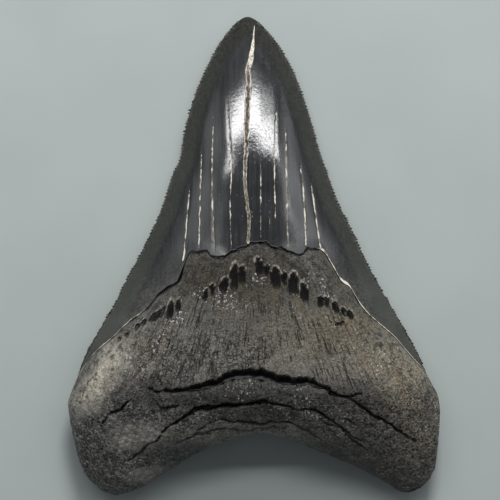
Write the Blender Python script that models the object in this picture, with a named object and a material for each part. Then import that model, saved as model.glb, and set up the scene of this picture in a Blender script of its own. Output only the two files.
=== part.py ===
"""Fossil tooth of a megalodon shark, resting on its flat outer (labial) face with the domed inner (lingual) face up.

Run with: blender --background --python part.py

The tooth lies in the XY plane with its point towards +Y, X across it and Z up from the surface that it rests on.
It is one solid: an enamel crown with serrated cutting edges, joined to a thick two-lobed root. The crown's worn
lower edge stands proud of the root, and the root carries its growth pits and drying cracks.
Each body is a pair of grids, one for the upper and one for the lower face, bent to the tooth's outline and
bridged round the rim. Sizes are in millimetres and become metres when a mesh is finished.
"""

import bmesh
import bpy
import numpy as np

MM = 0.001

# Driving sizes of the tooth, which measures 127 mm from its point to the far corner of its root.
ENAMEL_THICKNESS = 0.7
SERRATION_DEPTH = 0.3
EDGE_THICKNESS = 0.4
SEGMENTS_PER_ROW = 4  # two serrations in each row of the crown's grid

# Outline seen from above: shoulders, where crown and root meet, then each side up to the point.
TIP = (-1.6, 61.1)
TIP_LEFT = (-4.3, 59.7)
TIP_RIGHT = (1.3, 59.6)
LEFT_SHOULDER = (-45.2, -31.5)
RIGHT_SHOULDER = (43.9, -30.1)
LEFT_CUTTING_EDGE = [
    LEFT_SHOULDER, (-40.8, -21.6), (-35.2, -11.8), (-30.0, -1.7), (-25.0, 8.7), (-21.1, 19.4),
    (-18.2, 30.2), (-15.6, 39.6), (-11.2, 49.8), (-7.0, 56.8), TIP_LEFT,
]
RIGHT_CUTTING_EDGE = [
    RIGHT_SHOULDER, (38.8, -19.7), (32.3, -8.3), (26.6, 3.0), (21.3, 13.6), (17.0, 25.8),
    (13.1, 39.0), (10.3, 46.6), (6.6, 53.4), TIP_RIGHT,
]
LEFT_BASE_CORNER = (-43.4, -55.0)
RIGHT_BASE_CORNER = (46.1, -54.6)
LEFT_UNDER_ENAMEL = (-44.3, -30.0)  # where each side of the root ends, inside the crown
RIGHT_UNDER_ENAMEL = (43.0, -28.6)
LEFT_LOBE_SIDE = [LEFT_BASE_CORNER, (-45.9, -46.5), (-47.3, -38.6), (-46.3, -34.2), LEFT_UNDER_ENAMEL]
RIGHT_LOBE_SIDE = [RIGHT_BASE_CORNER, (47.2, -45.5), (47.2, -38.4), (45.6, -33.6), RIGHT_UNDER_ENAMEL]
BASE_LINE = [
    LEFT_BASE_CORNER, (-40.3, -59.0), (-35.8, -61.1), (-30.0, -59.8), (-21.9, -54.9), (-13.5, -50.2),
    (-3.9, -46.1), (3.0, -45.3), (11.5, -47.8), (21.5, -52.0), (30.7, -56.3), (35.8, -59.6),
    (39.2, -60.6), (43.2, -58.7), RIGHT_BASE_CORNER,
]

# Lower edge of the enamel: ragged on the upper face, a plain shallow arch on the lower one.
LEFT_WING_END = (-16.9, 0.8)
RIGHT_WING_START = (17.7, 1.0)
UPPER_ENAMEL_EDGE = [
    LEFT_SHOULDER, (-42.6, -27.4), (-38.0, -22.6), (-32.3, -17.4), (-26.7, -13.1), (-23.2, -8.7),
    (-19.2, -6.6), LEFT_WING_END, (-14.0, 0.8), (-12.3, 1.5), (-10.7, 0.1), (-8.0, -0.5), (-5.6, 1.0),
    (-0.6, 3.1), (3.2, 3.2), (6.2, 1.8), (8.6, 1.6), (12.4, 0.2), (13.2, 1.9), RIGHT_WING_START,
    (19.4, -1.8), (22.3, -7.2), (24.4, -7.8), (27.2, -13.0), (34.0, -19.4), (39.6, -25.3), RIGHT_SHOULDER,
]
LOWER_ENAMEL_EDGE = [
    LEFT_SHOULDER, (-32.0, -27.2), (-16.0, -22.8), (0.0, -21.2), (16.0, -22.6), (32.0, -26.8), RIGHT_SHOULDER,
]
WING_SHARE = 0.2  # of the crown's columns, on each of the two narrow wings beside the root
ENAMEL_LAP = 3.0  # how far the root's core runs on under the enamel

# Heights above the surface below, read along Y: the rim, the top of the inner face and the middle of the outer one.
RIM_HEIGHT = [
    (-61.1, 6.4), (-45.0, 7.4), (-33.0, 7.4), (-25.0, 6.0), (-15.0, 4.7), (0.0, 3.7), (20.0, 3.0),
    (40.0, 2.6), (61.1, 2.4),
]
RIDGE_HEIGHT = [
    (-61.1, 12.0), (-52.0, 15.6), (-46.0, 19.0), (-40.0, 21.4), (-34.0, 22.2), (-25.0, 21.2), (-15.0, 19.2),
    (-5.0, 16.8), (5.0, 14.5), (15.0, 12.7), (25.0, 11.0), (35.0, 9.3), (45.0, 7.5), (52.0, 6.1),
    (57.5, 4.6), (60.0, 3.3), (61.1, 2.4),
]
KEEL_HEIGHT = [
    (-61.1, 1.0), (-33.0, 1.4), (-20.0, 1.5), (0.0, 1.3), (15.0, 0.8), (28.0, 0.2), (35.0, -0.1),
    (44.0, -0.1), (50.0, 0.2), (56.0, 0.9), (59.0, 1.5), (61.1, 2.4),
]
CROWN_FULLNESS = 2.0  # exponents of the arch across the inner face: a lens in the crown, broader in the root
ROOT_FULLNESS = 2.9
BASE_ROUNDING = 11.0
SIDE_ROUNDING = 7.0
UNDERSIDE_ROUNDING = 7.0
LOBE_SWELL = 2.8
SHOULDER_SWELL = 2.2
SHOULDER_Y = -22.0
UNDERSIDE_HOLLOW = 1.5
CORE_DEPTH = 1.0  # below the enamel's inner side, where the core's hidden edge ends

# Grids, as (columns, rows). The upper faces carry the detail.
CROWN_UPPER_GRID = (28, 52)
CROWN_LOWER_GRID = (10, 26)
ROOT_UPPER_GRID = (44, 26)
ROOT_LOWER_GRID = (24, 11)

# Drying cracks in the root, and the split in the crown, as (route, width, depth).
ROOT_CRACKS = [
    ([(-25.5, -33.3), (-22.0, -34.2), (-13.8, -32.7), (-8.2, -31.0), (-2.8, -29.2), (4.0, -30.2), (13.1, -31.2),
      (17.4, -32.7), (20.7, -34.8), (26.6, -34.5)], 1.6, 2.4),
    ([(22.4, -34.4), (26.6, -37.6), (31.0, -40.7), (37.3, -45.0)], 0.9, 1.0),
    ([(-32.2, -52.2), (-28.3, -49.4), (-22.5, -43.8), (-17.4, -40.0), (-13.0, -38.2), (-3.6, -37.2), (2.1, -36.3),
      (7.9, -37.6), (14.3, -38.6), (21.5, -43.2)], 1.2, 1.6),
    ([(-38.1, -42.6), (-34.8, -39.2), (-30.6, -36.3)], 0.7, 0.9),
]
CROWN_CRACKS = [
    ([(0.3, 58.6), (-0.4, 53.4), (-1.6, 46.0), (-1.5, 38.0), (-2.2, 27.0), (-2.6, 16.0), (-2.0, 7.0)], 0.9, 0.9),
]
CRACK_SAMPLES_PER_MM = 0.45
CRACK_OVERCUT = 0.6  # how far a cutter stands above the surface

# Growth pits below the enamel, as (top x, top y, length, width, lean): each is deep at its upper end and runs out.
PITS = [
    (-12.0, -8.4, 3.0, 0.9, -0.3), (-10.4, -7.1, 2.9, 1.1, -0.1), (-7.4, -5.8, 3.9, 1.7, -0.2),
    (-4.9, -2.6, 6.4, 1.9, -0.06), (-3.0, -3.1, 3.7, 1.6, 0.0), (1.2, -0.9, 4.1, 1.5, 0.16),
    (3.4, -2.5, 2.7, 1.1, 0.0), (5.5, -3.3, 4.6, 2.4, -0.03), (7.6, -4.4, 2.8, 1.3, 0.04),
    (9.8, -4.9, 5.2, 2.4, -0.05), (12.3, -7.2, 4.4, 1.7, 0.2), (16.8, -10.4, 2.7, 1.3, -0.3),
    (20.4, -11.5, 2.7, 1.2, 0.2), (23.6, -13.8, 2.4, 2.0, 0.4), (-20.9, -11.9, 4.4, 1.6, -0.15),
    (-23.2, -13.4, 4.2, 1.6, -0.9),
]
PIT_DEPTH = 0.8

DARK_ENAMEL = (0.045, 0.047, 0.048)


def smooth_line(points, count):
    """count points evenly spaced along a smooth curve through the given ones."""
    points = np.array(points, float)
    knots = np.append(0, np.cumsum(np.linalg.norm(np.diff(points, axis=0), axis=1)))
    fine = np.linspace(0, knots[-1], 40 * len(points))
    line = np.stack([smooth_reading(list(zip(knots, points[:, k])), fine) for k in range(points.shape[1])], axis=1)
    along = np.append(0, np.cumsum(np.linalg.norm(np.diff(line, axis=0), axis=1)))
    even = np.linspace(0, along[-1], count)
    return np.stack([np.interp(even, along, line[:, k]) for k in range(points.shape[1])], axis=1)


def smooth_reading(table, at):
    """A smooth curve through (position, value) pairs, read at the given positions."""
    x, y = np.array(table, float).T
    slope = np.gradient(y, x)
    at = np.clip(at, x[0], x[-1])
    i = np.clip(np.searchsorted(x, at, side="right") - 1, 0, len(x) - 2)
    span = x[i + 1] - x[i]
    t = (at - x[i]) / span
    rise = y[i] * (1 + 2 * t) * (1 - t) ** 2 + y[i + 1] * t * t * (3 - 2 * t)
    return rise + span * (slope[i] * t * (1 - t) ** 2 - slope[i + 1] * t * t * (1 - t))


def ramp(value, low, high):
    """0 below low, 1 above high, and smooth between."""
    t = np.clip((value - low) / (high - low), 0, 1)
    return t * t * (3 - 2 * t)


def quarter_round(distance, radius):
    """The rise of a quarter circle of that radius, as a share of it."""
    t = np.clip(distance / radius, 0, 1)
    return np.sqrt(t * (2 - t))


def distance_to(line, x, y):
    """Distance from each (x, y) to an open line of points."""
    start, end = line[:-1], line[1:]
    step = end - start
    px, py = x[..., None] - start[:, 0], y[..., None] - start[:, 1]
    t = np.clip((px * step[:, 0] + py * step[:, 1]) / (step**2).sum(axis=1), 0, 1)
    return np.hypot(px - t * step[:, 0], py - t * step[:, 1]).min(axis=-1)


LEFT_SIDE = smooth_line([BASE_LINE[2], BASE_LINE[1], *LEFT_LOBE_SIDE[:-1], *LEFT_CUTTING_EDGE, TIP], 200)
RIGHT_SIDE = smooth_line([BASE_LINE[-3], BASE_LINE[-2], *RIGHT_LOBE_SIDE[:-1], *RIGHT_CUTTING_EDGE, TIP], 200)
ARCH = smooth_line(BASE_LINE, 120)
LEFT_EDGE = smooth_line(LEFT_CUTTING_EDGE, 200)
RIGHT_EDGE = smooth_line(RIGHT_CUTTING_EDGE, 200)
POINT = smooth_line([TIP_LEFT, TIP, TIP_RIGHT], 40)
UPPER_EDGE = smooth_line(UPPER_ENAMEL_EDGE, 240)
LOWER_EDGE = smooth_line(LOWER_ENAMEL_EDGE, 120)


def across(x, y):
    """Where (x, y) lies between the tooth's two sides: -1 at the left one, 0 in the middle and 1 at the right one."""
    left = np.interp(y, LEFT_SIDE[:, 1], LEFT_SIDE[:, 0])
    right = np.interp(y, RIGHT_SIDE[:, 1], RIGHT_SIDE[:, 0])
    return np.clip((2 * x - left - right) / np.maximum(right - left, 0.1), -1, 1)


def core_height(x, y):
    """Height of the inner face without its enamel or the root's swellings."""
    rim = smooth_reading(RIM_HEIGHT, y)
    fullness = CROWN_FULLNESS + (ROOT_FULLNESS - CROWN_FULLNESS) * ramp(-y, 0, 35)
    return rim + (smooth_reading(RIDGE_HEIGHT, y) - rim) * (1 - np.abs(across(x, y)) ** fullness)


def enamel_depth(x, y):
    """Full away from the tooth's sides, and nothing at them."""
    return ENAMEL_THICKNESS * ramp(np.minimum(distance_to(LEFT_SIDE, x, y), distance_to(RIGHT_SIDE, x, y)), 0, 5)


def crown_upper(x, y):
    return core_height(x, y) + enamel_depth(x, y)


def crown_lower(x, y):
    rim = smooth_reading(RIM_HEIGHT, y)
    belly = (rim - smooth_reading(KEEL_HEIGHT, y)) * (1 - np.abs(across(x, y)) ** 3)
    return np.maximum(rim - belly, 0)


def root_upper(x, y):
    rim = smooth_reading(RIM_HEIGHT, y)
    to_base = distance_to(ARCH, x, y)
    wings = UPPER_EDGE[np.abs(UPPER_EDGE[:, 0]) > abs(LEFT_WING_END[0])]
    left_wing, right_wing = wings[wings[:, 0] < 0], wings[wings[:, 0] > 0]
    outer = np.minimum(distance_to(LEFT_SIDE, x, y), distance_to(RIGHT_SIDE, x, y))
    to_wing = np.minimum(distance_to(left_wing, x, y), distance_to(right_wing, x, y))
    to_side = np.minimum(np.minimum(outer, to_wing), to_base)
    swell = LOBE_SWELL + SHOULDER_SWELL * np.exp(-(((y - SHOULDER_Y) / 12) ** 2))
    swell *= 1 - (1 - ramp(np.abs(across(x, y)), 0.25, 0.7)) * ramp(y, -45, -25)
    swell *= y < np.interp(x, UPPER_EDGE[:, 0], UPPER_EDGE[:, 1])
    arched = (core_height(x, y) - rim) * quarter_round(to_base, BASE_ROUNDING)
    return rim + arched + swell * quarter_round(to_side, SIDE_ROUNDING)


def root_lower(x, y):
    rim = smooth_reading(RIM_HEIGHT, y)
    outer = np.minimum(distance_to(LEFT_SIDE, x, y), distance_to(RIGHT_SIDE, x, y))
    to_side = np.minimum(outer, distance_to(ARCH, x, y))
    hollow = UNDERSIDE_HOLLOW * (1 - ramp(np.abs(x), 14, 30))
    lobes = rim - (rim - hollow) * quarter_round(to_side, UNDERSIDE_ROUNDING)
    below_enamel = ramp(np.interp(x, LOWER_EDGE[:, 0], LOWER_EDGE[:, 1]) - y, 0, 14)
    return lobes * below_enamel + (crown_lower(x, y) + enamel_depth(x, y)) * (1 - below_enamel)


def patch(bottom, top, left, right, columns, rows):
    """(rows + 1, columns + 1, 2) points that fill a four-sided outline, each side given as evenly read points."""
    u = np.linspace(0, 1, columns + 1)[None, :, None]
    v = np.linspace(0, 1, rows + 1)[:, None, None]
    corners = (
        (1 - u) * (1 - v) * bottom[0] + u * (1 - v) * bottom[-1] + (1 - u) * v * top[0] + u * v * top[-1]
    )
    return (1 - v) * bottom + v * top + (1 - u) * left[:, None] + u * right[:, None] - corners


def spread_points(line, shares):
    """Points at the given shares of a line's length."""
    along = np.append(0, np.cumsum(np.linalg.norm(np.diff(line, axis=0), axis=1)))
    at = np.asarray(shares) * along[-1]
    return np.stack([np.interp(at, along, line[:, k]) for k in range(2)], axis=1)


def wing_shares(columns):
    """Shares of the upper enamel edge's length that give each wing its own part of the columns."""
    along = np.append(0, np.cumsum(np.linalg.norm(np.diff(UPPER_EDGE, axis=0), axis=1)))
    ends = [np.interp(x, UPPER_EDGE[:, 0], along) / along[-1] for x in (LEFT_WING_END[0], RIGHT_WING_START[0])]
    return np.interp(np.linspace(0, 1, columns + 1), [0, WING_SHARE, 1 - WING_SHARE, 1], [0, *ends, 1])


def toward_ends(count, strength):
    """Shares from 0 to 1 that crowd towards both ends, so that rounded rims get more faces."""
    t = np.linspace(0, 1, count + 1)
    return t + strength * ((1 - np.cos(np.pi * t)) / 2 - t)


def toward_start(count, strength):
    """Shares from 0 to 1 that crowd towards the start."""
    t = np.linspace(0, 1, count + 1)
    return t + strength * (1 - np.cos(np.pi * t / 2) - t)


def bent_grid(bm, points, heights):
    """Adds a grid bent to the given points and heights. Returns the edges of its bottom, top, left and right sides."""
    rows, columns = points.shape[0] - 1, points.shape[1] - 1
    made = bmesh.ops.create_grid(bm, x_segments=columns, y_segments=rows, size=0.5)
    place = {(round((v.co.y + 0.5) * rows), round((v.co.x + 0.5) * columns)): v for v in made["verts"]}
    for (row, column), vertex in place.items():
        vertex.co = (*points[row, column], heights[row, column])
    across_side = [[bm.edges.get((place[r, c], place[r, c + 1])) for c in range(columns)] for r in (0, rows)]
    up_side = [[bm.edges.get((place[r, c], place[r + 1, c])) for r in range(rows)] for c in (0, columns)]
    return [*across_side, *up_side]


def crown_grid(enamel_edge, shares, rows):
    """Points that fill the crown's outline. Each column keeps nearly the same place between the two cutting edges."""
    low = spread_points(enamel_edge, shares)
    across_low = crown_place(*low.T)
    across_high = np.linspace(0, 1, len(shares))
    high_x = POINT[0, 0] + (POINT[-1, 0] - POINT[0, 0]) * across_high
    high_y = np.interp(high_x, POINT[:, 0], POINT[:, 1])
    v = np.linspace(0, 1, rows + 1)[:, None]
    y = low[:, 1] * (1 - v) + high_y * v
    place = across_low * (1 - v) + across_high * v
    left, right = (np.interp(y, edge[:, 1], edge[:, 0]) for edge in (LEFT_EDGE, RIGHT_EDGE))
    return np.stack([left + (right - left) * place, y], axis=2)


def crown_place(x, y):
    """0 at the left cutting edge and 1 at the right one."""
    left, right = (np.interp(y, edge[:, 1], edge[:, 0]) for edge in (LEFT_EDGE, RIGHT_EDGE))
    return (x - left) / (right - left)


def crown_body():
    upper = crown_grid(UPPER_EDGE, wing_shares(CROWN_UPPER_GRID[0]), CROWN_UPPER_GRID[1])
    lower = crown_grid(LOWER_EDGE, np.linspace(0, 1, CROWN_LOWER_GRID[0] + 1), CROWN_LOWER_GRID[1])
    bm = bmesh.new()
    upper_sides = bent_grid(bm, upper, crown_upper(upper[..., 0], upper[..., 1]))
    for k, inward in ((2, 1), (3, -1)):
        upper_sides[k] = serrated(bm, upper_sides[k], inward)
    lower_height = crown_lower(lower[..., 0], lower[..., 1])
    for side in (np.s_[-1, :], np.s_[:, 0], np.s_[:, -1]):
        lower_height[side] -= EDGE_THICKNESS
    lower_sides = bent_grid(bm, lower, lower_height)
    for upper_side, lower_side in zip(upper_sides, lower_sides):
        bmesh.ops.bridge_loops(bm, edges=upper_side + lower_side)
    return finished("tooth", bm)


def serrated(bm, side, inward):
    """Splits a cutting edge finely and moves every second point in, as saw teeth. Returns its edges."""
    kept = {vertex for edge in side for vertex in edge.verts}
    split = bmesh.ops.subdivide_edges(bm, edges=side, cuts=SEGMENTS_PER_ROW - 1)
    for vertex in {item for item in split["geom_inner"] if isinstance(item, bmesh.types.BMVert)}:
        if any(edge.is_boundary and edge.other_vert(vertex) in kept for edge in vertex.link_edges):
            vertex.co.x += inward * SERRATION_DEPTH
    pieces = {item for item in split["geom_split"] if isinstance(item, bmesh.types.BMEdge) and item.is_boundary}
    return list(pieces | {edge for edge in side if edge.is_valid})


def root_body():
    bm = bmesh.new()
    sides = []
    for (columns, rows), enamel_edge, height_of, rim_drop, core_drop in (
        (ROOT_UPPER_GRID, UPPER_EDGE, root_upper, 0, CORE_DEPTH),
        (ROOT_LOWER_GRID, LOWER_EDGE, root_lower, EDGE_THICKNESS, -CORE_DEPTH),
    ):
        across_shares, up_shares = toward_ends(columns, 0.85), toward_start(rows, 0.85)
        face = patch(
            spread_points(ARCH, across_shares), spread_points(lapped(enamel_edge), across_shares),
            spread_points(smooth_line(LEFT_LOBE_SIDE, 60), up_shares),
            spread_points(smooth_line(RIGHT_LOBE_SIDE, 60), up_shares), columns, rows,
        )
        x, y = face[..., 0], face[..., 1]
        height = height_of(x, y)
        for side in (np.s_[0, :], np.s_[:, 0], np.s_[:, -1]):
            height[side] = smooth_reading(RIM_HEIGHT, y[side]) - rim_drop
        gap = np.minimum(distance_to(LEFT_SIDE, x[-1], y[-1]), distance_to(RIGHT_SIDE, x[-1], y[-1]))
        height[-1, 1:-1] -= core_drop * ramp(gap[1:-1], 0, 8)
        sides.append(bent_grid(bm, face, height))
    for upper_side, lower_side in zip(*sides):
        bmesh.ops.bridge_loops(bm, edges=upper_side + lower_side)
    return finished("root", bm)


def lapped(edge):
    """The enamel's lower edge moved up under the enamel with its notches filled, but never out to the tooth's side."""
    x, y = edge[4:-4].T
    gap = np.minimum(distance_to(LEFT_SIDE, x, y), distance_to(RIGHT_SIDE, x, y))
    reach = np.minimum(ENAMEL_LAP, 0.4 * gap)
    around = x + reach * np.linspace(-1, 1, 9)[:, None]
    highest = np.interp(around, edge[:, 0], edge[:, 1]).max(axis=0)
    moved = np.stack([x, highest + 0.5 * reach], axis=1)
    return np.concatenate([[LEFT_UNDER_ENAMEL], moved, [RIGHT_UNDER_ENAMEL]])


def crack_cutter(name, route, width, depth, height_of):
    """A wedge that follows a crack along the surface, wide above and narrow below, and runs out at both ends."""
    length = np.linalg.norm(np.diff(np.array(route), axis=0), axis=1).sum()
    line = smooth_line(route, max(6, round(length * CRACK_SAMPLES_PER_MM)))
    direction = np.gradient(line, axis=0)
    normal = np.stack([-direction[:, 1], direction[:, 0]], axis=1)
    normal /= np.linalg.norm(normal, axis=1, keepdims=True)
    along = np.linspace(0, 1, len(line))
    size = 0.25 + 0.75 * ramp(np.minimum(along, 1 - along), 0, 0.3)
    surface = height_of(line[:, 0], line[:, 1])
    bm = bmesh.new()
    rings = []
    for sideways, below in ((-1, -1), (1, -1), (0.2, 1), (-0.2, 1)):
        offset = sideways * size * width / 2
        if below < 0:
            offset *= 1 + CRACK_OVERCUT / depth
        height = surface - depth * size if below > 0 else surface + CRACK_OVERCUT
        spots = line + normal * offset[:, None]
        rings.append([bm.verts.new((*spot, z)) for spot, z in zip(spots, height)])
    for k in range(4):
        near, far = rings[k], rings[(k + 1) % 4]
        for i in range(len(line) - 1):
            bm.faces.new((near[i], near[i + 1], far[i + 1], far[i]))
    for end in (0, -1):
        bm.faces.new([ring[end] for ring in rings])
    return finished(name, bm)


def pit_cutter(name, x, y, length, width, lean):
    """A drop-shaped scoop, deepest near its upper end, that follows the slope of the face that it is cut from."""
    direction = np.array([lean, -1]) / np.hypot(lean, 1)
    middle = np.array([x, y]) + direction * length / 2
    start, end = middle - direction * length / 2, middle + direction * length / 2
    slope = (root_upper(*end[:, None])[0] - root_upper(*start[:, None])[0]) / length
    surface = root_upper(*middle[:, None])[0]
    bm = bmesh.new()
    bmesh.ops.create_uvsphere(bm, u_segments=10, v_segments=6, radius=1)
    for vertex in bm.verts:
        along, sideways = vertex.co.x * length / 2, vertex.co.y * width / 2 * (1 - 0.25 * vertex.co.x)
        spot = middle + direction * along + np.array([-direction[1], direction[0]]) * sideways
        vertex.co = (*spot, surface + slope * along + PIT_DEPTH * (vertex.co.z + 0.15 + 0.35 * vertex.co.x))
    return finished(name, bm)


def finished(name, bm):
    """A mesh object in metres from a bmesh in millimetres, its faces pointing out."""
    bm.normal_update()
    bmesh.ops.recalc_face_normals(bm, faces=bm.faces)
    bmesh.ops.scale(bm, vec=(MM, MM, MM), verts=bm.verts)
    mesh = bpy.data.meshes.new(name)
    bm.to_mesh(mesh)
    bm.free()
    return bpy.data.objects.new(name, mesh)


def new_collection(name, hidden=False):
    made = bpy.data.collections.new(name)
    bpy.context.scene.collection.children.link(made)
    made.hide_render = hidden
    return made


def keep_as_cutter(obj, collection):
    collection.objects.link(obj)
    obj.hide_render = True
    obj.display_type = "WIRE"


def dark_enamel():
    material = bpy.data.materials.new("dark_enamel")
    material.use_nodes = True
    shader = material.node_tree.nodes["Principled BSDF"]
    shader.inputs["Base Color"].default_value = (*DARK_ENAMEL, 1)
    shader.inputs["Roughness"].default_value = 0.35
    return material


def main():
    for obj in list(bpy.data.objects):
        bpy.data.objects.remove(obj)
    parts = new_collection("megalodon_tooth")
    joined = new_collection("joined_bodies", hidden=True)
    cutters = new_collection("cracks_and_pits", hidden=True)
    tooth = crown_body()
    parts.objects.link(tooth)
    root = root_body()
    keep_as_cutter(root, joined)
    for k, (route, width, depth) in enumerate(ROOT_CRACKS):
        keep_as_cutter(crack_cutter(f"root_crack_{k}", route, width, depth, root_upper), cutters)
    for k, (route, width, depth) in enumerate(CROWN_CRACKS):
        keep_as_cutter(crack_cutter(f"crown_crack_{k}", route, width, depth, crown_upper), cutters)
    for k, pit in enumerate(PITS):
        keep_as_cutter(pit_cutter(f"pit_{k}", *pit), cutters)
    for operation, collection in (("UNION", joined), ("DIFFERENCE", cutters)):
        boolean = tooth.modifiers.new(operation.lower(), "BOOLEAN")
        boolean.operation = operation
        boolean.operand_type = "COLLECTION"
        boolean.collection = collection
        boolean.solver = "EXACT"
    tooth.data.materials.append(dark_enamel())
    tooth.data.shade_smooth()


main()
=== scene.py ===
"""The look of a fossil megalodon tooth: a glossy, cracked enamel crown on a porous root.

The tooth lies on its flat outer face, with its point towards +Y and its domed inner face up. Outlines and
heights are in millimetres and become metres when a mesh is finished.
"""

import math

import bmesh
import bpy
import numpy as np
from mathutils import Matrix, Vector, noise


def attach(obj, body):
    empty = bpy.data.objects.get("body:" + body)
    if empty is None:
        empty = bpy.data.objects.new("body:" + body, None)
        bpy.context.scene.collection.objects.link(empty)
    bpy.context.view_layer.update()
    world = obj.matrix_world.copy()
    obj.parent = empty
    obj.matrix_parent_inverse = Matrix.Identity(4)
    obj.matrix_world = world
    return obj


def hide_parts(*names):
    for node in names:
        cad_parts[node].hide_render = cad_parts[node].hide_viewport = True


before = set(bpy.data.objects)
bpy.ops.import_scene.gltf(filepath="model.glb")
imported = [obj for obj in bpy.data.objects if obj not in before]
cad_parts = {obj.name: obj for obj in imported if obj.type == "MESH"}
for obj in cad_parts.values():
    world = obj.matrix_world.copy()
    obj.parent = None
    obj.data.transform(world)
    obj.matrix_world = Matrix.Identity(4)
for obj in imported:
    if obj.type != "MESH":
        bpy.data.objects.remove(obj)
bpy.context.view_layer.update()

MM = 0.001

# Sizes of the enamel.
ENAMEL_THICKNESS = 0.7
ENAMEL_WALL = 1.6  # how far its lower edge reaches down into the root
EDGE_THICKNESS = 0.4
SERRATION_PITCH = 0.78
SERRATION_DEPTH = 1.15
SERRATION_CUTS = 3  # extra points in each row of the grid along a cutting edge
HEM_ROUNDING = 0.1  # how far the lip of its lower edge is rounded over

# Outline seen from above.
TIP = (-1.6, 61.1)
TIP_LEFT = (-4.3, 59.9)
TIP_RIGHT = (1.3, 59.7)
LEFT_SHOULDER = (-45.2, -31.5)
RIGHT_SHOULDER = (43.9, -30.1)
LEFT_CUTTING_EDGE = [
    LEFT_SHOULDER, (-43.4, -26.8), (-40.8, -21.6), (-37.8, -16.4), (-35.2, -11.8), (-32.6, -6.3),
    (-30.0, -1.7), (-26.6, 5.2), (-23.5, 12.2), (-21.4, 18.6), (-20.6, 21.2), (-19.2, 23.6),
    (-18.0, 30.2), (-15.6, 39.6), (-13.5, 45.0), (-11.2, 49.8), (-8.9, 54.1), (-7.0, 56.8), TIP_LEFT,
]
RIGHT_CUTTING_EDGE = [
    RIGHT_SHOULDER, (42.1, -25.9), (38.8, -19.7), (35.6, -14.1), (32.3, -8.3), (29.1, -2.4), (24.7, 7.1),
    (21.5, 13.4), (18.8, 20.8), (16.8, 26.5), (14.9, 33.3), (12.9, 39.6), (10.3, 46.6), (8.0, 51.1),
    (6.1, 54.1), (3.4, 57.5), TIP_RIGHT,
]
LEFT_BASE_CORNER = (-43.4, -55.0)
RIGHT_BASE_CORNER = (46.1, -54.6)
LEFT_UNDER_ENAMEL = (-44.3, -30.0)
RIGHT_UNDER_ENAMEL = (43.0, -28.6)
LEFT_LOBE_SIDE = [
    LEFT_BASE_CORNER, (-44.4, -52.4), (-45.7, -47.1), (-47.0, -40.9), (-47.3, -37.6), (-46.2, -34.2),
    LEFT_UNDER_ENAMEL,
]
RIGHT_LOBE_SIDE = [
    RIGHT_BASE_CORNER, (46.6, -50.8), (47.1, -44.7), (47.3, -38.6), (46.6, -35.3), (45.2, -32.6),
    RIGHT_UNDER_ENAMEL,
]
BASE_LINE = [
    LEFT_BASE_CORNER, (-42.6, -56.4), (-40.1, -58.9), (-38.2, -60.4), (-36.0, -61.1), (-33.3, -60.9),
    (-30.0, -59.8), (-26.7, -57.8), (-21.9, -54.9), (-17.6, -52.2), (-13.7, -50.3), (-8.8, -48.1),
    (-3.9, -46.2), (1.6, -45.3), (6.0, -46.0), (10.8, -47.7), (15.6, -49.5), (20.4, -51.5), (25.5, -53.7),
    (30.7, -56.3), (34.8, -58.6), (36.9, -60.0), (38.9, -60.6), (41.6, -59.8), (44.4, -57.7),
    RIGHT_BASE_CORNER,
]
UPPER_ENAMEL_EDGE = [
    LEFT_SHOULDER, (-43.0, -28.1), (-39.8, -24.2), (-35.9, -21.0), (-32.3, -17.4), (-28.7, -14.8),
    (-26.7, -13.1), (-24.8, -10.5), (-21.5, -7.9), (-19.2, -6.6), (-17.8, -3.3), (-16.9, -0.3),
    (-15.8, 1.1), (-13.9, 0.7), (-12.2, 1.4), (-10.8, 0.1), (-8.2, -0.4), (-5.9, 0.9), (-2.3, 2.2),
    (-0.3, 3.3), (3.0, 3.2), (4.9, 2.0), (7.8, 1.7), (9.5, 0.7), (12.2, 0.2), (13.2, 1.8), (15.0, 1.5),
    (17.2, 1.2), (18.8, -0.8), (20.6, -4.0), (22.5, -7.0), (24.2, -7.9), (25.8, -10.9), (27.7, -13.5),
    (31.7, -17.4), (35.6, -20.7), (39.8, -25.5), RIGHT_SHOULDER,
]
LOWER_ENAMEL_EDGE = [
    LEFT_SHOULDER, (-32.0, -27.2), (-16.0, -22.8), (0.0, -21.2), (16.0, -22.6), (32.0, -26.8), RIGHT_SHOULDER,
]
ENAMEL_LAP = 3.0

# Heights above the floor, read along Y: the rim, the top of the inner face and the middle of the outer one.
RIM_HEIGHT = [
    (-61.1, 6.4), (-45.0, 7.4), (-33.0, 7.4), (-25.0, 6.0), (-15.0, 4.7), (0.0, 3.7), (20.0, 3.0),
    (40.0, 2.6), (61.1, 2.4),
]
RIDGE_HEIGHT = [
    (-61.1, 12.0), (-52.0, 15.6), (-46.0, 19.0), (-40.0, 21.4), (-34.0, 22.2), (-25.0, 21.2),
    (-15.0, 19.2), (-5.0, 16.7), (0.0, 15.55), (5.0, 14.75), (10.0, 14.0), (15.0, 13.25), (20.0, 12.5),
    (25.0, 11.65), (30.0, 10.7), (37.0, 9.25), (44.0, 7.7), (50.0, 6.2), (55.0, 4.75), (58.5, 3.55),
    (60.3, 2.9), (61.1, 2.4),
]
KEEL_HEIGHT = [
    (-61.1, 1.0), (-33.0, 1.4), (-20.0, 1.5), (0.0, 1.3), (15.0, 0.8), (28.0, 0.2), (35.0, -0.1),
    (44.0, -0.1), (50.0, 0.2), (56.0, 0.9), (59.0, 1.5), (61.1, 2.4),
]
CROWN_FULLNESS = 2.0
ROOT_FULLNESS = 2.9
BASE_ROUNDING = 11.0
SIDE_ROUNDING = 7.0
UNDERSIDE_ROUNDING = 7.0
LOBE_SWELL = 2.8
SHOULDER_SWELL = 2.2
SHOULDER_Y = -22.0
UNDERSIDE_HOLLOW = 1.5
CORE_DEPTH = 1.0  # how far the root's top sinks under the enamel

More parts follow.
